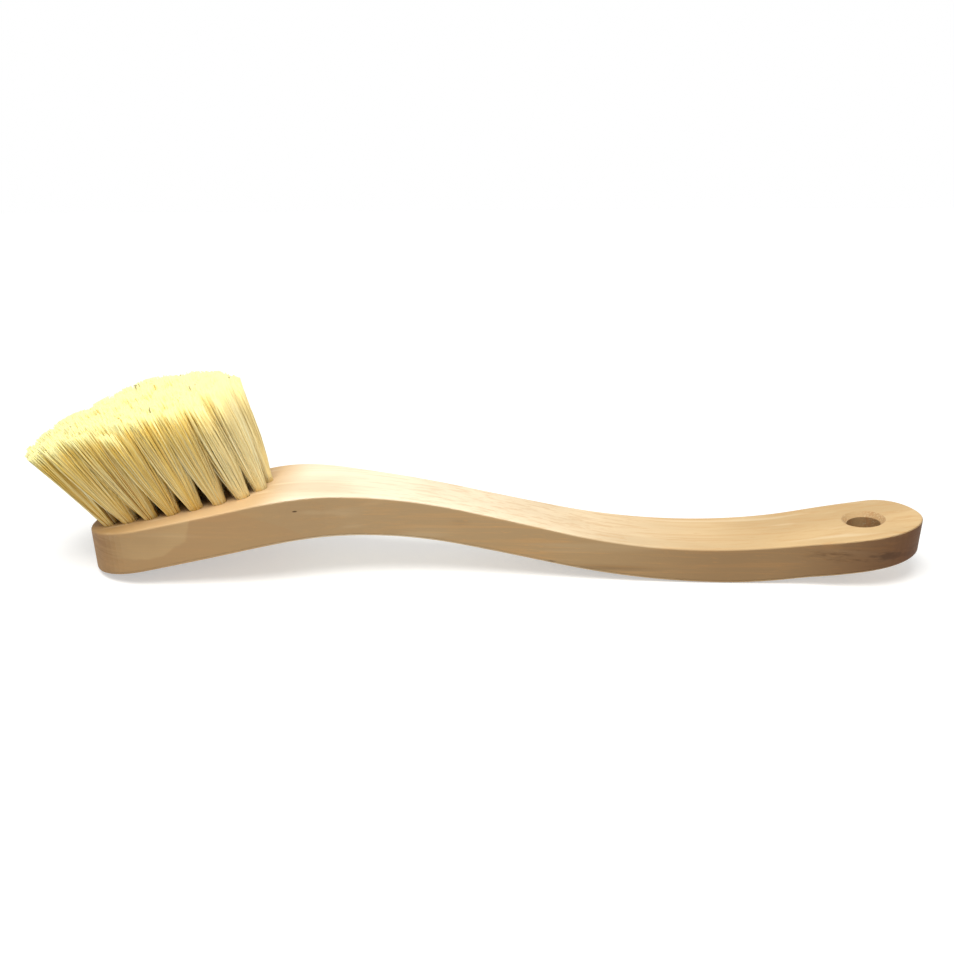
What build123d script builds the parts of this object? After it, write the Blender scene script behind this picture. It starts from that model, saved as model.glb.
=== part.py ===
from build123d import *
import os
from math import cos, radians, sin, tan

os.makedirs("parts", exist_ok=True)

# Frame: +X from the bristle head to the hang hole, +Y across, +Z up from the bench
# that the brush lies on, bristles upwards. Millimetres and degrees.
nose_x = -161.5
nose_top_z = 18.45

# Plan outline of the one-piece wooden block and handle
handle_length = 343.0
head_width = 52.0
nose_round_length = 30.0
head_middle_from_nose = 60.0
head_middle_width = 51.2
head_end_from_nose = 80.0
head_end_width = 47.8
shoulder_from_nose = 103.0
shoulder_width = 37.0
collar_from_nose = 127.0
collar_width = 29.4
neck_from_nose = 165.0
neck_width = 26.6
palm_from_nose = 214.0
palm_width = 30.4
grip_from_nose = 262.0
grip_width = 32.6
heel_from_nose = 296.0
heel_width = 34.4
end_width = 37.6
back_end_round_length = 14.0
front_end_round_length = 27.0

# Side profile, sawn from a thick board as a long double curve
block_angle = 12.3
block_thickness = 18.33
block_top_length = 74.5
crest_front_radius = 120.0
crest_dip = 3.1
crest_rear_radius = 331.0
neck_fall = 12.3
neck_top_length = 40.0
trough_radius = 271.0
grip_rise = 8.5
block_under_angle = 12.6
block_under_length = 71.2
arch_front_radius = 160.0
arch_rear_radius = 272.0
under_fall = 11.0
neck_under_length = 39.6
belly_front_radius = 354.0
belly_rear_radius = 167.0
under_rise = 9.3
top_edge_round = 1.0
under_edge_round = 1.6

# Hang hole
hang_hole_diameter = 12.7
hang_hole_from_end = 22.2
hang_hole_chamfer = 1.9

# Tufts: four staggered rows of drilled holes that fan out of the block
outer_tuft_count = 7
inner_tuft_count = 8
tuft_hole_diameter = 5.3
tuft_hole_depth = 9.5
hole_web = 4.4
middle_row_web = 3.7
outer_row_end_web = 0.8
outer_row_middle_web = 3.8
nose_margin = 7.6
outer_row_lead = 4.1
nose_lean = 22.5
neck_lean = 3.5
lean_power = 3
side_lean = 14.0
fit_gap = 0.05

# Fibre strands, drawn coarser than life, and the cut that crowns their tips both ways
strand_width = 0.9
core_strand_count = 3
core_ring_radius = 0.75
rim_strand_count = 9
rim_ring_radius = 1.95
spread_along = 2.5
spread_across = 3.1
strand_embed = 1.0
root_proud = 0.5
trim_height = 51.0
trim_radius = 103.0
trim_side_radius = 56.0
trim_crown_from_nose = 42.5

# Flat wire anchors that pin each folded tuft at the bottom of its hole
anchor_thickness = 0.4
anchor_height = 2.0
anchor_bite = 0.6
fold_thickness = 0.8

# Cutting tools reach past the wood by half its length, and past a hole's mouth by this
mouth_overrun = 2.0
strand_overrun = 11.0

end_x = nose_x + handle_length
run_out = handle_length / 2
block_face = Plane(
    origin=(nose_x, 0, nose_top_z),
    x_dir=(cos(radians(block_angle)), 0, sin(radians(block_angle))),
    z_dir=(-sin(radians(block_angle)), 0, cos(radians(block_angle))),
)

# Rows of tufts, measured along the block from its nose edge
tuft_pitch = tuft_hole_diameter + hole_web
inner_row_y = (tuft_hole_diameter + middle_row_web) / 2
outer_end_y = inner_row_y + tuft_hole_diameter + outer_row_end_web
outer_middle_y = inner_row_y + tuft_hole_diameter + outer_row_middle_web
inner_row_length = (inner_tuft_count - 1) * tuft_pitch
outer_row_length = (outer_tuft_count - 1) * tuft_pitch
outer_row_start = nose_margin + outer_row_lead


def tuft_frame(along, across):
    """Plane at a hole's mouth: Z runs out along the fibres, X along the block."""
    to_nose = 1 - (along - nose_margin) / inner_row_length
    lean = radians(neck_lean + (nose_lean - neck_lean) * to_nose**lean_power)
    fan = radians(side_lean * across / outer_middle_y)
    axis = (
        block_face.z_dir * cos(lean) - block_face.x_dir * sin(lean) + block_face.y_dir * tan(fan)
    ).normalized()
    sideways = axis.cross(block_face.x_dir)
    return Plane(
        origin=block_face.from_local_coords((along, across, 0)),
        x_dir=sideways.cross(axis),
        z_dir=axis,
    )


def inner_row(side):
    return [
        tuft_frame(nose_margin + number * tuft_pitch, side * inner_row_y)
        for number in range(inner_tuft_count)
    ]


def outer_row(side):
    bow = ThreePointArc(
        (outer_row_start, side * outer_end_y),
        (outer_row_start + outer_row_length / 2, side * outer_middle_y),
        (outer_row_start + outer_row_length, side * outer_end_y),
    )
    places = [bow @ (number / (outer_tuft_count - 1)) for number in range(outer_tuft_count)]
    return [tuft_frame(place.X, place.Y) for place in places]


rows = {
    "front_outer": outer_row(-1),
    "front_inner": inner_row(-1),
    "back_inner": inner_row(1),
    "back_outer": outer_row(1),
}
all_frames = [frame for frames in rows.values() for frame in frames]
anchor_length = tuft_hole_diameter + 2 * anchor_bite


def hole_floor(frame):
    return Location(frame.offset(-tuft_hole_depth))


def anchor_seat(frame, gap):
    """Foot of the flat anchor's seat, which stands on the fold of the tuft."""
    return Location(frame.offset(fold_thickness - tuft_hole_depth - gap))


def anchor_seat_sizes(gap):
    return (anchor_length + 2 * gap, anchor_thickness + 2 * gap, anchor_height + 2 * gap)


standing = (Align.CENTER, Align.CENTER, Align.MIN)
wall_tolerance = 0.01
broad_normal = 0.5

# Handle: the side profile cut through by the plan outline
with BuildPart() as handle:
    with BuildSketch(Plane.XZ) as profile:
        with BuildLine():
            nose_top = Vector(nose_x, nose_top_z)
            block_top = PolarLine(nose_top, block_top_length, angle=block_angle)
            crest_front = JernArc(
                block_top @ 1, block_top % 1, crest_front_radius, -(block_angle + crest_dip)
            )
            crest_rear = JernArc(
                crest_front @ 1, crest_front % 1, crest_rear_radius, crest_dip - neck_fall
            )
            neck_top = Line(crest_rear @ 1, crest_rear @ 1 + (crest_rear % 1) * neck_top_length)
            trough = JernArc(neck_top @ 1, neck_top % 1, trough_radius, neck_fall + grip_rise)
            grip_top = Line(trough @ 1, trough @ 1 + (trough % 1) * run_out)

            nose_foot = nose_top - Vector(0, block_thickness / cos(radians(block_angle)))
            block_under = PolarLine(nose_foot, block_under_length, angle=block_under_angle)
            arch_front = JernArc(
                block_under @ 1, block_under % 1, arch_front_radius, -block_under_angle
            )
            arch_rear = JernArc(arch_front @ 1, arch_front % 1, arch_rear_radius, -under_fall)
            neck_under = Line(arch_rear @ 1, arch_rear @ 1 + (arch_rear % 1) * neck_under_length)
            belly_front = JernArc(neck_under @ 1, neck_under % 1, belly_front_radius, under_fall)
            belly_rear = JernArc(belly_front @ 1, belly_front % 1, belly_rear_radius, under_rise)
            grip_under = Line(belly_rear @ 1, belly_rear @ 1 + (belly_rear % 1) * run_out)

            Line(nose_top, nose_foot)
            Line(grip_top @ 1, grip_under @ 1)
        make_face()
    extrude(amount=head_width, both=True)

    with BuildSketch(Plane.XY.offset(-run_out)) as plan:
        with BuildLine():
            for side, nose_start, end_start, end_round_length in (
                (1, 90, 0, back_end_round_length),
                (-1, 180, 270, front_end_round_length),
            ):
                EllipticalCenterArc(
                    (nose_x + nose_round_length, 0),
                    nose_round_length,
                    head_width / 2,
                    start_angle=nose_start,
                    arc_size=90,
                )
                EllipticalCenterArc(
                    (end_x - end_round_length, 0),
                    end_round_length,
                    end_width / 2,
                    start_angle=end_start,
                    arc_size=90,
                )
                Spline(
                    (nose_x + nose_round_length, side * head_width / 2),
                    (nose_x + head_middle_from_nose, side * head_middle_width / 2),
                    (nose_x + head_end_from_nose, side * head_end_width / 2),
                    (nose_x + shoulder_from_nose, side * shoulder_width / 2),
                    (nose_x + collar_from_nose, side * collar_width / 2),
                    (nose_x + neck_from_nose, side * neck_width / 2),
                    (nose_x + palm_from_nose, side * palm_width / 2),
                    (nose_x + grip_from_nose, side * grip_width / 2),
                    (nose_x + heel_from_nose, side * heel_width / 2),
                    (end_x - end_round_length, side * end_width / 2),
                    tangents=((1, 0), (1, 0)),
                )
        make_face()
    extrude(amount=2 * run_out, mode=Mode.INTERSECT)

    for facing, edge_round in ((1, top_edge_round), (-1, under_edge_round)):
        walls = handle.faces().filter_by(lambda face: abs(face.normal_at().Z) < wall_tolerance)
        broad = handle.faces().filter_by(lambda face: face.normal_at().Z * facing > broad_normal)
        fillet(walls.edges() & broad.edges(), edge_round)

    with Locations([hole_floor(frame) for frame in all_frames]):
        Cylinder(
            tuft_hole_diameter / 2,
            tuft_hole_depth + mouth_overrun,
            align=standing,
            mode=Mode.SUBTRACT,
        )
    with Locations([anchor_seat(frame, fit_gap) for frame in all_frames]):
        Box(*anchor_seat_sizes(fit_gap), align=standing, mode=Mode.SUBTRACT)

    hang_x = end_x - hang_hole_from_end
    hang_z = (trough @ 1).Y + (hang_x - (trough @ 1).X) * tan(radians(grip_rise))
    hang_normal = (-sin(radians(grip_rise)), 0, cos(radians(grip_rise)))
    with BuildSketch(Plane(origin=(hang_x, 0, hang_z), z_dir=hang_normal)) as hang_mouth:
        Circle(hang_hole_diameter / 2)
    extrude(amount=run_out, both=True, mode=Mode.SUBTRACT)
    mouths = handle.edges(Select.LAST).filter_by(GeomType.LINE, reverse=True)
    chamfer(mouths, hang_hole_chamfer)
handle.part.label = "handle"
export_step(handle.part, "parts/handle.step")

# Anchors: one node for each row, each anchor a separate piece of flat wire
for row_name, frames in rows.items():
    with BuildPart() as anchors:
        with Locations([anchor_seat(frame, 0) for frame in frames]):
            Box(*anchor_seat_sizes(0), align=standing)
    anchors.part.label = f"anchors_{row_name}"
    export_step(anchors.part, f"parts/anchors_{row_name}.step")

# Strands of one tuft in its own frame, all pointing away from one point below the
# hole's mouth, so that none crosses another
strand_reach = trim_height + strand_overrun


def strand(ring_radius, turn):
    outward = Vector(1, 0).rotate(Axis.Z, turn)
    root = outward * ring_radius - Vector(0, 0, strand_embed)
    spread = Vector(outward.X * spread_along, outward.Y * spread_across) * ring_radius
    tip = spread + Vector(0, 0, strand_reach)
    foot = Face.make_rect(strand_width, strand_width, Plane(root, x_dir=outward, z_dir=(0, 0, 1)))
    return Solid.extrude(foot, tip - root)


strands = [
    strand(ring_radius, number * 360 / count)
    for ring_radius, count in (
        (core_ring_radius, core_strand_count),
        (rim_ring_radius, rim_strand_count),
    )
    for number in range(count)
]

# Cutter that crowns the tips: a barrel lying across the block, its crest at the longest fibres
trim_plane = Plane(
    origin=block_face.from_local_coords((trim_crown_from_nose, 0, trim_height - trim_radius)),
    x_dir=block_face.y_dir,
    z_dir=block_face.x_dir,
)
with BuildPart() as trim_barrel:
    with BuildSketch(trim_plane) as barrel_profile:
        with BuildLine():
            crest = CenterArc((0, trim_radius - trim_side_radius), trim_side_radius, 0, 180)
            Polyline(crest @ 1, (-trim_side_radius, 0), (trim_side_radius, 0), crest @ 0)
        make_face()
    revolve(axis=Axis(trim_plane.origin, trim_plane.x_dir))

# Tufts: the folded root fills its hole, and the barrel trims the strands
for row_name, frames in rows.items():
    for number, frame in enumerate(frames, start=1):
        with BuildPart() as tuft:
            with Locations(hole_floor(frame)):
                Cylinder(
                    tuft_hole_diameter / 2 - fit_gap, tuft_hole_depth + root_proud, align=standing
                )
            with Locations(anchor_seat(frame, fit_gap)):
                Box(*anchor_seat_sizes(fit_gap), align=standing, mode=Mode.SUBTRACT)
            add([loose.moved(frame.location) for loose in strands])
            add(trim_barrel.part, mode=Mode.INTERSECT)
        tuft.part.label = f"tuft_{row_name}_{number}"
        export_step(tuft.part, f"parts/tuft_{row_name}_{number}.step")

strand_count = len(all_frames) * len(strands)
print(f"{len(all_frames)} tufts, {strand_count} strands")
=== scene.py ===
import bpy
import math
import numpy as np
from mathutils import Matrix, Vector


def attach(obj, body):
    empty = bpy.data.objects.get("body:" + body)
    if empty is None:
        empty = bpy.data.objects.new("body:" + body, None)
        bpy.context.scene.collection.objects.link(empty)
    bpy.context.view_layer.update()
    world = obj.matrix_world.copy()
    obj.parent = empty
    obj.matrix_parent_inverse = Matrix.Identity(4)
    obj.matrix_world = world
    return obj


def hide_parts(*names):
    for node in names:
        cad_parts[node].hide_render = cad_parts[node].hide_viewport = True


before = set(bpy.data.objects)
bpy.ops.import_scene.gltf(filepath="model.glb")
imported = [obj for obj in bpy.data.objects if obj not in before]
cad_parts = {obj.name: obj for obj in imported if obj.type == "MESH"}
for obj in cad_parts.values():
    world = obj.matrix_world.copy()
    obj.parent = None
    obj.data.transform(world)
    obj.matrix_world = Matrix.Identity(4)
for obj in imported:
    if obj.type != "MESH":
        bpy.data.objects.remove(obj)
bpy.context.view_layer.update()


# ---- Handle and block -------------------------------------------------------------------
# One piece of pale close-grained hardwood, band-sawn to a long double curve, drilled for the
# tufts and the hang hole, then sanded and left bare. The grain runs along the handle, and the
# sawn curve cuts through the growth rings, which draws the pale figure on the side.


def paint(red, green, blue):
    """A colour as a painter would match it, 0 to 255, turned into light by the sRGB curve."""
    shares = [level / 255 for level in (red, green, blue)]
    return tuple(s / 12.92 if s < 0.04045 else ((s + 0.055) / 1.055) ** 2.4 for s in shares) + (1,)


def new_material(name):
    material = bpy.data.materials.new(name)
    material.use_nodes = True
    return material, material.node_tree, material.node_tree.nodes["Principled BSDF"]


def add_node(tree, kind, inputs=(), **settings):
    """One shader node, with its settings and its input values or links."""
    node = tree.nodes.new("ShaderNode" + kind)
    for name, value in settings.items():
        setattr(node, name, value)
    for socket, value in dict(inputs).items():
        if isinstance(value, bpy.types.NodeSocket):
            tree.links.new(value, node.inputs[socket])
        else:
            node.inputs[socket].default_value = value
    return node


def ease(tree, value, low, high, start=0.0, end=1.0):
    """Takes a value smoothly from one range to another, and holds it at both ends."""
    spread = {"Value": value, "From Min": low, "From Max": high, "To Min": start, "To Max": end}
    return add_node(tree, "MapRange", spread, interpolation_type="SMOOTHSTEP").outputs["Result"]


def maths(tree, operation, first, second=0.0):
    return add_node(tree, "Math", {0: first, 1: second}, operation=operation).outputs[0]


def vector_maths(tree, operation, first, second):
    return add_node(tree, "VectorMath", {0: first, 1: second}, operation=operation).outputs[0]


def times(tree, *values):
    product = values[0]
    for value in values[1:]:
        product = maths(tree, "MULTIPLY", product, value)
    return product


def lay_over(tree, amount, under, over):
    """One colour over another, by an amount. Sockets 6, 7 and 2 are the Mix node's colours."""
    return add_node(tree, "Mix", {0: amount, 6: under, 7: over}, data_type="RGBA").outputs[2]


def mottle(tree, place, scale, detail=2.0, roughness=0.5):
    """Soft noise with its own scale on each axis, in cycles per metre."""
    stretched = add_node(tree, "Mapping", {0: place, "Scale": scale}).outputs[0]
    noise = {"Vector": stretched, "Scale": 1, "Detail": detail, "Roughness": roughness}
    return add_node(tree, "TexNoise", noise).outputs["Fac"]


def patch(tree, place, centre, size, softness):
    """1 inside an ellipsoid, falling to 0 outside it."""
    sized = vector_maths(tree, "DIVIDE", vector_maths(tree, "SUBTRACT", place, centre), size)
    reach = add_node(tree, "VectorMath", {0: sized}, operation="LENGTH").outputs["Value"]
    return ease(tree, reach, 1 - softness, 1 + softness, 1, 0)


wood_cream = paint(250, 234, 204)
wood_tan = paint(224, 191, 140)
# painted shade: the colour of the sides, darker than the top as if lit from above; the soft clouds
# use it too
wood_cloud_and_side_shade = paint(170, 139, 98)
# painted shade of the tufts: the head's two darker tones, deepest towards the nose
wood_deep_tuft_shade = paint(160, 124, 74)
wood_tuft_shade = paint(218, 184, 138)
wood_end_grain = paint(150, 108, 64)
wood_line = paint(204, 156, 100)
wood_ring = paint(104, 62, 30)
wood_figure = paint(176, 124, 78)
wood_pale = paint(252, 236, 200)
# browned by hands, and painted shade where the handle's end turns from the lamp
wood_handled_and_shaded = paint(80, 31, 6)
knot_brown = paint(52, 30, 18)
wood_roughness = 0.6
wood_specular = 0.2

# Broad tones: reaches along the handle over which one gives way to the next, in metres, soft
# clouds, painted shade that darkens the sides below the top, and the duller end grain
tan_reach = (-0.04, 0.13)
# painted shade of the tufts over the head, in two reaches
tuft_shade_reach = (-0.088, -0.068)
deep_tuft_shade_reach = (-0.165, -0.105)
cloud_grain = {"scale": (14, 34, 34), "detail": 2}
cloud_range = (0.40, 0.75)
cloud_strength = 0.35
side_slope = (0.25, 0.75)
side_shade_strength = 0.95
end_grain_turn = (0.15, 0.6)
end_grain_strength = 0.50

# Marks of the grain: how fine they are on each axis, which part of the noise shows, how much
growth_grain = {"scale": (6, 480, 480), "detail": 3, "roughness": 0.6}
growth_range = (0.48, 0.66)
growth_strength = 0.34
pore_grain = {"scale": (70, 1500, 1500), "detail": 2}
pore_range = (0.55, 0.75)
pore_strength = 0.30
dash_grain = {"scale": (190, 900, 900), "detail": 1}
dash_range = (0.66, 0.76)
dash_strength = 0.30
lines_clear_reach = (-0.08, 0.02)
lines_on_head = 0.35
streak_grain = {"scale": (16, 210, 210), "detail": 1}
streak_range = (0.58, 0.78)
streak_strength = 0.30
streak_on_side = 0.25
ring_grain = {"scale": (6, 70, 560), "detail": 3, "roughness": 0.62}
ring_range = (0.46, 0.64)
ring_strength = 0.25

# The figure: an oval of early wood, and a slanting line that a later ring is cut off by
figure_heart = (-0.1385, 0.0, 0.0310)
figure_size = (0.0288, 1.0, 0.0202)
figure_cut = (-0.083, 0.0, 0.0284)
figure_cut_normal = (-0.432, 0.0, -0.902)
figure_sway_scale = 70
figure_sway_reach = 0.009
noise_middle = (0.5, 0.5, 0.5)
late_edge = (0.95, 1.05)
late_fade = (1.0, 1.9)
late_far = 0.45
cut_edge = (-0.0002, 0.0005)
cut_fade = (0, 0.014)
cut_far = 0.5
late_reach = (-0.152, -0.138)
late_strength = 0.24
glow_rise = (0.45, 1.0)
glow_edge = (0.98, 1.03)
glow_reach = (-0.150, -0.130)
glow_strength = 0.15

# A pin knot, a bruise and two streaks: place, size, softness of the edge, strength
dark_spots = (
    ((-0.0697, -0.0225, 0.0316), (0.0009, 0.005, 0.00032), 0.35, 0.85),
    ((-0.0051, -0.0140, 0.0243), (0.0034, 0.004, 0.00130), 0.90, 0.10),
    ((0.0313, -0.0127, 0.0079), (0.0020, 0.004, 0.00060), 0.60, 0.50),
    ((0.0560, -0.0141, 0.0060), (0.0150, 0.004, 0.00110), 0.90, 0.30),
)
# darker towards the handle's end: browning by hands and painted shade of the lamp's fall-off
palm_reach = (0.04, 0.11)
palm_browning_and_shade = 0.25
heel_reach = (0.115, 0.172)
heel_browning_and_shade = 0.47
grime_grain = {"scale": (60, 120, 330), "detail": 3, "roughness": 0.65}
grime_range = (0.44, 0.62)
grime_reach = (0.128, 0.140)
grime_band = ((0.152, -0.0189, 0.0140), (0.022, 0.02, 0.0034), 0.6)
grime_strength = 0.55

hang_hole_place = (0.1593, 0, 0.0220)
hang_hole_reach = (0.0090, 0.0090, 0.0140)
hang_hole_softness = 0.02
hang_hole_slope = (0.86, 0.94)
hang_hole_browning = 0.4
torn_grain = {"scale": (900, 2600, 2600), "detail": 1}
torn_dark_range = (0.45, 0.60)
torn_dark_strength = 0.55
torn_pale_range = (0.40, 0.30)
torn_pale_strength = 0.35
torn_relief = 4
relief_strength = 0.35
relief_depth = 0.00015


def lay_broad_faces(tree, place, along, side, across_grain):
    """The broad faces are palest at the head and grow tan towards the handle's end."""
    cloud = mottle(tree, place, **cloud_grain)
    colour = lay_over(tree, ease(tree, along, *tan_reach), wood_cream, wood_tan)
    # painted shade of the tufts over the head, in two steps towards the nose
    colour = lay_over(tree, ease(tree, along, *tuft_shade_reach, 1, 0), colour, wood_tuft_shade)
    colour = lay_over(tree, ease(tree, along, *deep_tuft_shade_reach, 1, 0), colour, wood_deep_tuft_shade)
    colour = lay_over(tree, ease(tree, cloud, *cloud_range, 0, cloud_strength), colour, wood_cloud_and_side_shade)
    # painted shade: the sides darker than the top
    colour = lay_over(tree, times(tree, side, side_shade_strength), colour, wood_cloud_and_side_shade)
    ends = times(tree, across_grain, side, end_grain_strength)
    return lay_over(tree, ends, colour, wood_end_grain)


def lay_grain(tree, place, along, side, across_grain, pores, colour):
    """Growth lines and pores run straight along the board, clearer on the handle."""
    growth = ease(tree, mottle(tree, place, **growth_grain), *growth_range)
    dashes = ease(tree, mottle(tree, place, **dash_grain), *dash_range)
    pits = ease(tree, pores, *pore_range)
    clear = ease(tree, along, *lines_clear_reach, lines_on_head, 1)
    colour = lay_over(tree, times(tree, growth, clear, growth_strength), colour, wood_line)
    colour = lay_over(tree, times(tree, pits, clear, pore_strength), colour, wood_line)
    colour = lay_over(tree, times(tree, dashes, clear, dash_strength), colour, wood_line)
    streak = mottle(tree, place, **streak_grain)
    pale = ease(tree, streak, *streak_range, 0, streak_strength)
    pale = times(tree, pale, ease(tree, side, 0, 1, 1, streak_on_side))
    pale = times(tree, pale, ease(tree, across_grain, 0, 1, 1, 0))
    return lay_over(tree, pale, colour, wood_pale)


def lay_figure(tree, place, along, side, colour):
    """Figure on the head's sides, where the saw crossed the growth rings aslant."""
    noise = {"Vector": place, "Scale": figure_sway_scale, "Detail": 2}
    sway = add_node(tree, "TexNoise", noise).outputs["Color"]
    sway = vector_maths(tree, "SUBTRACT", sway, noise_middle)
    reach = {0: sway, "Scale": figure_sway_reach}
    sway = add_node(tree, "VectorMath", reach, operation="SCALE").outputs[0]
    swayed = vector_maths(tree, "ADD", place, sway)
    ring = vector_maths(tree, "SUBTRACT", swayed, figure_heart)
    ring = vector_maths(tree, "DIVIDE", ring, figure_size)
    ring = add_node(tree, "VectorMath", {0: ring}, operation="LENGTH").outputs["Value"]
    cut = vector_maths(tree, "SUBTRACT", swayed, figure_cut)
    cut = add_node(tree, "VectorMath", {0: cut, 1: figure_cut_normal}, operation="DOT_PRODUCT")
    cut = cut.outputs["Value"]
    late = times(tree, ease(tree, ring, *late_edge), ease(tree, ring, *late_fade, 1, late_far))
    late = times(tree, late, ease(tree, cut, *cut_edge), ease(tree, cut, *cut_fade, 1, cut_far))
    late = times(tree, late, ease(tree, along, *late_reach))
    colour = lay_over(tree, times(tree, late, side, late_strength), colour, wood_figure)
    glow = times(tree, ease(tree, ring, *glow_rise), ease(tree, ring, *glow_edge, 1, 0))
    glow = times(tree, glow, ease(tree, along, *glow_reach))
    return lay_over(tree, times(tree, glow, side, glow_strength), colour, wood_tan)


def lay_wear_and_end_shade(tree, place, along, side, across_grain, colour):
    """Dark spots, the end browned by hands and darkened by painted shade, end-grain rings, and
    grime low on the side.
    """
    for centre, size, softness, strength in dark_spots:
        spot = times(tree, patch(tree, place, centre, size, softness), side, strength)
        colour = lay_over(tree, spot, colour, knot_brown)
    # browning by hands and painted shade, growing towards the handle's end
    palm = ease(tree, along, *palm_reach, 0, palm_browning_and_shade)
    heel = ease(tree, along, *heel_reach, 0, heel_browning_and_shade)
    end_darkening = maths(tree, "ADD", palm, heel)
    colour = lay_over(tree, times(tree, end_darkening, side), colour, wood_handled_and_shaded)
    rings = ease(tree, mottle(tree, place, **ring_grain), *ring_range)
    rings = times(tree, rings, across_grain, side, ring_strength)
    colour = lay_over(tree, rings, colour, wood_ring)
    grime = ease(tree, mottle(tree, place, **grime_grain), *grime_range)
    grime = times(tree, grime, ease(tree, along, *grime_reach))
    band = patch(tree, place, *grime_band)
    return lay_over(tree, times(tree, grime, band, side, grime_strength), colour, knot_brown)


def lay_torn_wood(tree, bore, across_grain, torn, colour):
    """Torn end grain, dark and pale, on the countersink and the wall of the hang hole."""
    dark = ease(tree, torn, *torn_dark_range)
    dark = times(tree, bore, across_grain, dark, torn_dark_strength)
    colour = lay_over(tree, dark, colour, wood_figure)
    pale = ease(tree, torn, *torn_pale_range)
    pale = times(tree, bore, across_grain, pale, torn_pale_strength)
    return lay_over(tree, pale, colour, wood_pale)


def bare_hardwood():
    material, tree, surface = new_material("bare_hardwood")
    place = add_node(tree, "TexCoord").outputs["Object"]
    along = add_node(tree, "SeparateXYZ", {0: place}).outputs["X"]
    normal = add_node(tree, "NewGeometry").outputs["True Normal"]
    facing = add_node(tree, "SeparateXYZ", {0: normal}).outputs
    upright = maths(tree, "ABSOLUTE", facing["Z"])
    across_grain = ease(tree, maths(tree, "ABSOLUTE", facing["X"]), *end_grain_turn)
    in_hole = patch(tree, place, hang_hole_place, hang_hole_reach, hang_hole_softness)
    bore = times(tree, in_hole, ease(tree, upright, *hang_hole_slope, 1, 0))
    side = ease(tree, upright, *side_slope, 1, 0)
    side = times(tree, side, ease(tree, in_hole, 0, 1, 1, hang_hole_browning))
    pores = mottle(tree, place, **pore_grain)
    torn = mottle(tree, place, **torn_grain)

    colour = lay_broad_faces(tree, place, along, side, across_grain)
    colour = lay_grain(tree, place, along, side, across_grain, pores, colour)
    colour = lay_figure(tree, place, along, side, colour)
    colour = lay_wear_and_end_shade(tree, place, along, side, across_grain, colour)
    colour = lay_torn_wood(tree, bore, across_grain, torn, colour)
    tree.links.new(colour, surface.inputs["Base Color"])

    surface.inputs["Roughness"].default_value = wood_roughness
    surface.inputs["Specular IOR Level"].default_value = wood_specular
    relief = maths(tree, "ADD", pores, times(tree, bore, torn, torn_relief))
    grooves = {"Height": relief, "Strength": relief_strength, "Distance": relief_depth}
    bump = add_node(tree, "Bump", grooves)
    tree.links.new(bump.outputs["Normal"], surface.inputs["Normal"])
    return material


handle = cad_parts["handle"]
handle.data.materials.clear()
handle.data.materials.append(bare_hardwood())


# ---- Wire anchors -----------------------------------------------------------------------
# Short pieces of flat bright wire, one in the fold of each tuft, driven into the bottoms of
# the holes, where they hold the fibre. They stay out of sight in the wood.

wire_bright = paint(205, 203, 199)
wire_dull = paint(172, 168, 160)
wire_grain = {"scale": (200, 4000, 4000)}
wire_range = (0.35, 0.7)
wire_roughness = 0.38
row_names = ("front_outer", "front_inner", "back_inner", "back_outer")


def drawn_wire():
    material, tree, surface = new_material("drawn_wire")
    place = add_node(tree, "TexCoord").outputs["Object"]
    marks = mottle(tree, place, **wire_grain)
    colour = lay_over(tree, ease(tree, marks, *wire_range), wire_bright, wire_dull)
    tree.links.new(colour, surface.inputs["Base Color"])
    surface.inputs["Metallic"].default_value = 1
    surface.inputs["Roughness"].default_value = wire_roughness
    return material


wire = drawn_wire()
for row_name in row_names:
    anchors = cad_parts["anchors_" + row_name]
    anchors.data.materials.clear()
    anchors.data.materials.append(wire)


# ---- Fibre tufts ------------------------------------------------------------------------
# Thirty bundles of stiff pale plant fibre in four staggered rows. Each is folded over its
# anchor, fills its drilled hole, and flares as it leaves the block, so that the bundles meet
# before their tips. The cut across the tips is crowned both ways. The cream near the tips is
# pith, partly painted highlight of the lamp on the cut.

nose_edge = Vector((-0.1615, 0, 0.01845))
block_angle = math.radians(12.3)
tuft_pitch = 0.0097
inner_row_y = 0.0045
outer_end_y = 0.0106
outer_middle_y = 0.0136
nose_margin = 0.0076
outer_row_lead = 0.0041
inner_count = 8
outer_count = 7
nose_lean = math.radians(22.5)
neck_lean = math.radians(3.5)
lean_power = 3
side_lean = math.radians(14)
crown_height = 0.0510
crown_from_nose = 0.0425
crown_radius = 0.104
crown_side_radius = 0.056

fibres_in_tuft = 520
clumps_in_tuft = 17
fibre_sides = 4
fibre_cuts = (0.10, 0.27, 0.48, 0.73)
fibre_radius = 0.000175
girth_variation = 0.22
girth_limits = (0.65, 1.6)
root_girth = 0.8
girth_gain = 0.2
girth_gain_rate = 3
bundle_radius = 0.00245
root_depth = 0.0020
root_jitter = 0.00010
golden_angle = math.pi * (3 - math.sqrt(5))
spread_along = 2.75
nose_widening = 0.75
free_end_spread = 0.20
free_end_bow = 0.0016
nose_face_spread = 2.3
spread_inward = 3.3
spread_to_middle = 4.0
spread_outward = 2.1
flare_rise = 1.6
nose_face_power = 1.7
spread_variation = 0.06
clump_pull = 0.10
clump_sway_spread = 0.00038
bow_spread = 0.00050
stray_spread = 0.00050
wild_share = 0.025
wild_spread = 0.0012

first_length_share = 0.9
longest_share = 1.2
trim_rounds = 6
clump_length_spread = 0.00105
length_spread = 0.00030
length_allowance = 0.0003
fringe_most = 0.0020
end_rounding = 0.0048
short_share = 0.05
short_by = (0.0008, 0.0050)
clump_tone_share = 0.30
dip_place = (-0.1515, 0.010, 0.0690)
dip_size = (0.012, 0.020, 0.012)
dip_depth = 0.0030
seed_of_fibres = 7

block_along = np.array((math.cos(block_angle), 0, math.sin(block_angle)))
block_across = np.array((0.0, 1.0, 0.0))
block_out = np.array((-math.sin(block_angle), 0, math.cos(block_angle)))
inner_row_length = (inner_count - 1) * tuft_pitch
outer_row_length = (outer_count - 1) * tuft_pitch


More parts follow.
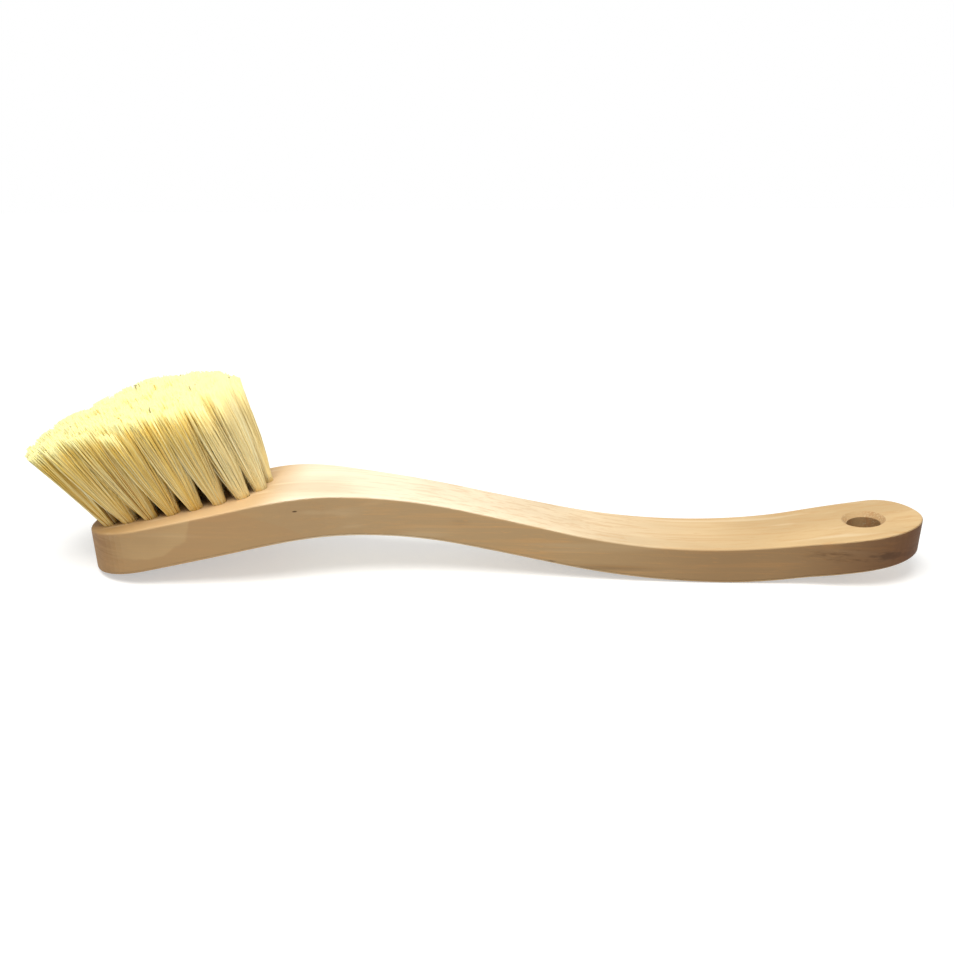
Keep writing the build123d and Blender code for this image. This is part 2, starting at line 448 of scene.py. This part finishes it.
def row_places(row_name):
    """Where a row's holes are: along the block from its nose edge, and across it."""
    side = -1 if row_name.startswith("front") else 1
    if row_name.endswith("inner"):
        return [(nose_margin + n * tuft_pitch, side * inner_row_y) for n in range(inner_count)]
    bow = outer_middle_y - outer_end_y
    bow_radius = (outer_row_length**2 / 4 + bow**2) / (2 * bow)
    bow_turn = math.asin(outer_row_length / 2 / bow_radius)
    places = []
    for number in range(outer_count):
        turn = bow_turn * (2 * number / (outer_count - 1) - 1)
        along = nose_margin + outer_row_lead + outer_row_length / 2 + bow_radius * math.sin(turn)
        across = outer_middle_y - bow_radius * (1 - math.cos(turn))
        places.append((along, side * across))
    return places


def tuft_axes(to_nose, across):
    """A tuft's own directions: its fibres' way out, along the block, and across it."""
    lean = neck_lean + (nose_lean - neck_lean) * to_nose**lean_power
    fan = side_lean * across / outer_middle_y
    out = block_out * math.cos(lean) - block_along * math.sin(lean) + block_across * math.tan(fan)
    out /= np.linalg.norm(out)
    across_tuft = np.cross(out, block_along)
    across_tuft /= np.linalg.norm(across_tuft)
    return out, np.cross(across_tuft, out), across_tuft


def model_fibre():
    """One unit fibre: a thin rod cut across, so that it can bend. Gives its corners and faces."""
    bpy.ops.mesh.primitive_cylinder_add(
        vertices=fibre_sides, radius=1, depth=1, end_fill_type="NGON", location=(0, 0, 0.5)
    )
    rod = bpy.context.active_object
    bpy.ops.object.transform_apply(location=True, rotation=True, scale=True)
    bpy.ops.object.mode_set(mode="EDIT")
    for cut in fibre_cuts:
        bpy.ops.mesh.select_all(action="SELECT")
        bpy.ops.mesh.bisect(plane_co=(0, 0, cut), plane_no=(0, 0, 1))
    bpy.ops.object.mode_set(mode="OBJECT")
    corners = np.array([tuple(vertex.co) for vertex in rod.data.vertices])
    faces = np.array([tuple(face.vertices) for face in rod.data.polygons])
    bpy.data.objects.remove(rod)
    return corners, faces


def above_crown(points):
    """How far points lie above the crowned cut, measured out from the block."""
    offset = points - np.array(nose_edge)
    along = offset @ block_along - crown_from_nose
    across = np.clip(offset @ block_across, -crown_side_radius, crown_side_radius)
    side_radius = crown_radius - crown_side_radius + np.sqrt(crown_side_radius**2 - across**2)
    return offset @ block_out - (crown_height - crown_radius + np.sqrt(side_radius**2 - along**2))


def mesh_of_fibres(name, centre, tuft_turn, length, radius, spin, tone):
    """A copy of the unit fibre on each centre line, its rings set square to the tuft."""
    out, along_tuft, across_tuft = tuft_turn
    shares = fibre_corners[:, 2]
    count = len(length)
    points = np.empty((count, len(shares), 3))
    from_tip = np.empty((count, len(shares)))
    for corner, share in enumerate(shares):
        travel = share * (length + root_depth) - root_depth
        middle = centre(np.maximum(travel, 0)) + np.outer(np.minimum(travel, 0), out)
        u = fibre_corners[corner, 0] * np.cos(spin) - fibre_corners[corner, 1] * np.sin(spin)
        v = fibre_corners[corner, 0] * np.sin(spin) + fibre_corners[corner, 1] * np.cos(spin)
        girth = radius * (root_girth + girth_gain * min(share * girth_gain_rate, 1))
        sides = np.outer(u * girth, along_tuft) + np.outer(v * girth, across_tuft)
        points[:, corner] = middle + sides
        from_tip[:, corner] = length - travel

    starts = np.arange(count) * len(shares)
    faces = [[start + corner for corner in face] for start in starts for face in fibre_faces]
    mesh = bpy.data.meshes.new(name)
    mesh.from_pydata(points.reshape(-1, 3), [], faces)
    tones = np.repeat(tone, len(shares))
    mesh.attributes.new("from_tip", "FLOAT", "POINT").data.foreach_set("value", from_tip.ravel())
    mesh.attributes.new("tone", "FLOAT", "POINT").data.foreach_set("value", tones)
    mesh.shade_smooth()
    return mesh


def plant_roots(draw):
    """Roots fill the hole in a sunflower pattern, and neighbours keep together in clumps."""
    order = np.arange(fibres_in_tuft)
    ring = np.sqrt((order + 0.5) / fibres_in_tuft)
    turn = order * golden_angle
    root = np.stack([ring * np.cos(turn), ring * np.sin(turn)], 1) * bundle_radius
    root += draw.normal(0, root_jitter, root.shape)
    heart = root[draw.choice(fibres_in_tuft, clumps_in_tuft, replace=False)]
    clump = np.argmin(((root[:, None] - heart[None]) ** 2).sum(2), 1)
    return root, heart, clump


def room_to_flare(root, neckward, across, to_nose, is_first, is_last):
    """Each side of the bundle flares by its own room: neighbours, free end or free side."""
    outward = root[:, 1] * across > 0
    flare = np.empty_like(root)
    flare[:, 0] = spread_along * (1 + nose_widening * to_nose**2)
    flare[:, 1] = np.where(outward, spread_outward, spread_inward)
    if abs(across) < outer_end_y - bundle_radius:
        flare[:, 1] = np.where(outward, spread_inward, spread_to_middle)
    if is_last:
        flare[neckward, 0] = free_end_spread
    if is_first:
        flare[~neckward, 0] = nose_face_spread
    return flare


def grow_tuft(name, along, across, is_first, is_last, draw):
    """One tuft, in which every fibre is a bent copy of the unit fibre."""
    to_nose = 1 - (along - nose_margin) / inner_row_length
    out, along_tuft, across_tuft = tuft_axes(to_nose, across)
    mouth = np.array(nose_edge) + block_along * along + block_across * across
    count = fibres_in_tuft

    # Clumps sway, end and take their tone together. Each fibre bows and strays a little
    root, heart, clump = plant_roots(draw)
    clump_sway = draw.normal(0, clump_sway_spread, heart.shape)
    clump_length = draw.normal(0, clump_length_spread, clumps_in_tuft)
    clump_tone = draw.random_sample(clumps_in_tuft)
    neckward = root[:, 0] > 0
    on_nose_face = ~neckward & is_first
    bow = draw.normal(0, bow_spread, root.shape)
    if is_last:
        bow[:, 0] += np.where(neckward, root[:, 0] / bundle_radius * free_end_bow, 0)
    flare = room_to_flare(root, neckward, across, to_nose, is_first, is_last)
    flare = (flare - 1) * draw.normal(1, spread_variation, root.shape)
    stray = draw.normal(0, stray_spread, root.shape) + clump_sway[clump]
    wild = draw.random_sample(count) < wild_share
    stray += wild[:, None] * draw.normal(0, wild_spread, root.shape)
    gather = (heart[clump] - root) * (1 + flare) * clump_pull

    def centre(travel):
        """Points on the fibres, this far out of the block."""
        share = np.clip(travel / crown_height, 0, longest_share)
        opening = 1 - (1 - np.minimum(share, 1)) ** flare_rise
        opening = np.where(on_nose_face, share**nose_face_power, opening)
        bulge = 4 * share * (1 - share)      # 1 halfway up the fibre and 0 at its ends
        offset = root * (1 + flare * opening[:, None])
        offset += (stray + gather) * (share**2)[:, None] + bow * bulge[:, None]
        sideways = offset[:, :1] * along_tuft + offset[:, 1:] * across_tuft
        return mouth + np.outer(travel, out) + sideways

    # The cut: each fibre ends at the crown, give or take, and the tips dip a little in one place
    length = np.full(count, crown_height * first_length_share)
    for _ in range(trim_rounds):
        length = length - above_crown(centre(length)) / (out @ block_out)
    fringe = draw.normal(0, length_spread, count) + clump_length[clump] + length_allowance
    length += np.minimum(fringe, fringe_most)
    if is_last:
        length -= np.where(neckward, root[:, 0] / bundle_radius, 0) ** 2 * end_rounding
    dip = np.linalg.norm((centre(length) - np.array(dip_place)) / np.array(dip_size), axis=1)
    length -= dip_depth * np.exp(-dip**2)
    short = draw.random_sample(count) < short_share
    length -= short * draw.uniform(*short_by, count)

    radius = fibre_radius * np.clip(draw.lognormal(0, girth_variation, count), *girth_limits)
    spin = draw.uniform(0, math.tau, count)
    tone = draw.random_sample(count) * (1 - clump_tone_share) + clump_tone[clump] * clump_tone_share
    tuft_turn = (out, along_tuft, across_tuft)
    mesh = mesh_of_fibres(name, centre, tuft_turn, length, radius, spin, tone)
    tuft = bpy.data.objects.new(name, mesh)
    bpy.context.collection.objects.link(tuft)
    return tuft


fibre_brown = paint(172, 124, 58)
fibre_gold = paint(250, 218, 128)
fibre_straw = paint(253, 232, 164)
fibre_light = paint(255, 247, 206)
# cream pith at the tips, partly painted highlight of the lamp on the cut
fibre_pith_and_highlight = paint(253, 245, 180)
fibre_ripe = paint(250, 220, 104)
fibre_burnt = paint(104, 88, 44)
fibre_roughness = 0.6
fibre_specular = 0.2
brown_tones = (0.07, 0.19)
straw_tones = (0.25, 0.62)
light_tones = (0.60, 0.84)
ripe_reach = (0.004, 0.026)
ripe_strength = 0.50
blotch_grain = {"scale": (170, 170, 60), "detail": 3}
blotch_range = (0.50, 0.80)
blotch_strength = 0.25
pale_tufts_reach = (-0.110, -0.094)
pale_tufts_strength = 0.45
pith_and_highlight_reach = (0.0010, 0.0070)
cream_tones = (0.03, 0.10)
burnt_tones = (0.935, 0.945)
burnt_reach = (0.0010, 0.0026)
burnt_strength = 0.9


def plant_fibre():
    """Each fibre has its own tone, ripens towards its tip, and ends in cream pith with painted
    highlight, or a burn.
    """
    material, tree, surface = new_material("plant_fibre")
    from_tip = add_node(tree, "Attribute", attribute_name="from_tip").outputs["Fac"]
    tone = add_node(tree, "Attribute", attribute_name="tone").outputs["Fac"]
    place = add_node(tree, "TexCoord").outputs["Object"]
    along = add_node(tree, "SeparateXYZ", {0: place}).outputs["X"]
    colour = lay_over(tree, ease(tree, tone, *brown_tones), fibre_brown, fibre_gold)
    colour = lay_over(tree, ease(tree, tone, *straw_tones), colour, fibre_straw)
    colour = lay_over(tree, ease(tree, tone, *light_tones), colour, fibre_light)
    ripe = times(tree, ease(tree, from_tip, *ripe_reach, 1, 0), ripe_strength)
    colour = lay_over(tree, ripe, colour, fibre_ripe)
    blotch = ease(tree, mottle(tree, place, **blotch_grain), *blotch_range, 0, blotch_strength)
    colour = lay_over(tree, blotch, colour, fibre_gold)
    pale_tufts = ease(tree, along, *pale_tufts_reach, 0, pale_tufts_strength)
    colour = lay_over(tree, pale_tufts, colour, fibre_light)
    # cream pith near the tips, partly painted highlight
    pith_and_highlight = times(tree, ease(tree, from_tip, *pith_and_highlight_reach, 1, 0), ease(tree, tone, *cream_tones))
    colour = lay_over(tree, pith_and_highlight, colour, fibre_pith_and_highlight)
    burnt = times(tree, ease(tree, tone, *burnt_tones), ease(tree, from_tip, *burnt_reach, 1, 0))
    colour = lay_over(tree, times(tree, burnt, burnt_strength), colour, fibre_burnt)
    tree.links.new(colour, surface.inputs["Base Color"])
    surface.inputs["Roughness"].default_value = fibre_roughness
    surface.inputs["Specular IOR Level"].default_value = fibre_specular
    return material


fibre = plant_fibre()
fibre_corners, fibre_faces = model_fibre()
draw = np.random.RandomState(seed_of_fibres)
for row_name in row_names:
    places = row_places(row_name)
    for number, (along, across) in enumerate(places, start=1):
        piece_name = f"fibres_{row_name}_{number}"
        tuft = grow_tuft(piece_name, along, across, number == 1, number == len(places), draw)
        tuft.data.materials.append(fibre)
        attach(tuft, "root")
        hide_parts(f"tuft_{row_name}_{number}")


# ---- Floor, light and camera ------------------------------------------------------------
# A white table sweeps away under the brush, which lies on it bristles up. A soft lamp hangs
# over the bristle end, and the room is evenly white.

floor_size = 8
floor_white = (0.66, 0.66, 0.65, 1)
floor_roughness = 0.9
floor_lift_reach = (0.20, 0.75)      # from the middle of the brush, in metres
floor_lift = (0.46, 0.85)            # the glow that keeps it white, near and far
pure_white = (1, 1, 1, 1)
room_light = 0.38
lamp_white = (1, 0.99, 0.965)
lamp_power = 4.6
lamp_size = 0.42
lamp_place = Vector((-0.08, -0.25, 0.64))
lamp_aim = Vector((-0.03, 0, 0.03))

focal_pixels = 820
photo_pixels = 954
sensor_width = 36
camera_aim = Vector((0.0012, 0, 0.03894))
camera_distance = 0.3366
camera_pitch = math.radians(20)
camera_yaw = math.radians(2.5)
camera_roll = 0.0073
camera_near = 0.01


def seen_or_mirrored(tree):
    """1 where the camera looks straight, by a reflection or through glass, and 0 for light."""
    ray = add_node(tree, "LightPath").outputs
    seen = maths(tree, "MAXIMUM", ray["Is Camera Ray"], ray["Is Glossy Ray"])
    return maths(tree, "MAXIMUM", seen, ray["Is Transmission Ray"])


bpy.ops.mesh.primitive_plane_add(size=floor_size, location=(0, 0, 0))
floor = bpy.context.active_object
floor.name = "floor"
floor_paint, tree, surface = new_material("floor_paint")
surface.inputs["Base Color"].default_value = floor_white
surface.inputs["Roughness"].default_value = floor_roughness
surface.inputs["Emission Color"].default_value = pure_white
place = add_node(tree, "TexCoord").outputs["Object"]
reach = add_node(tree, "VectorMath", {0: place}, operation="LENGTH").outputs["Value"]
lift = ease(tree, reach, *floor_lift_reach, *floor_lift)
tree.links.new(times(tree, seen_or_mirrored(tree), lift), surface.inputs["Emission Strength"])
floor.data.materials.append(floor_paint)

world = bpy.data.worlds.new("white_room")
bpy.context.scene.world = world
world.use_nodes = True
tree = world.node_tree
background = tree.nodes["Background"]
background.inputs["Color"].default_value = pure_white
glow = {"Value": seen_or_mirrored(tree), "To Min": room_light, "To Max": 1.0}
strength = add_node(tree, "MapRange", glow)
tree.links.new(strength.outputs["Result"], background.inputs["Strength"])

bpy.ops.object.light_add(type="AREA", location=lamp_place)
lamp = bpy.context.active_object
lamp.rotation_euler = (lamp_aim - lamp_place).to_track_quat("-Z", "Y").to_euler()
lamp.data.shape = "DISK"
lamp.data.size = lamp_size
lamp.data.energy = lamp_power
lamp.data.color = lamp_white

turn = (
    Matrix.Rotation(camera_roll, 3, "Y")
    @ Matrix.Rotation(camera_yaw, 3, "Z")
    @ Matrix.Rotation(math.pi / 2 - camera_pitch, 3, "X")
)
bpy.ops.object.camera_add(
    location=camera_aim + turn @ Vector((0, 0, camera_distance)), rotation=turn.to_euler()
)
camera = bpy.context.active_object
camera.data.sensor_width = sensor_width
camera.data.lens = sensor_width * focal_pixels / photo_pixels
camera.data.clip_start = camera_near
bpy.context.scene.camera = camera

bpy.context.scene.view_settings.view_transform = "Standard"
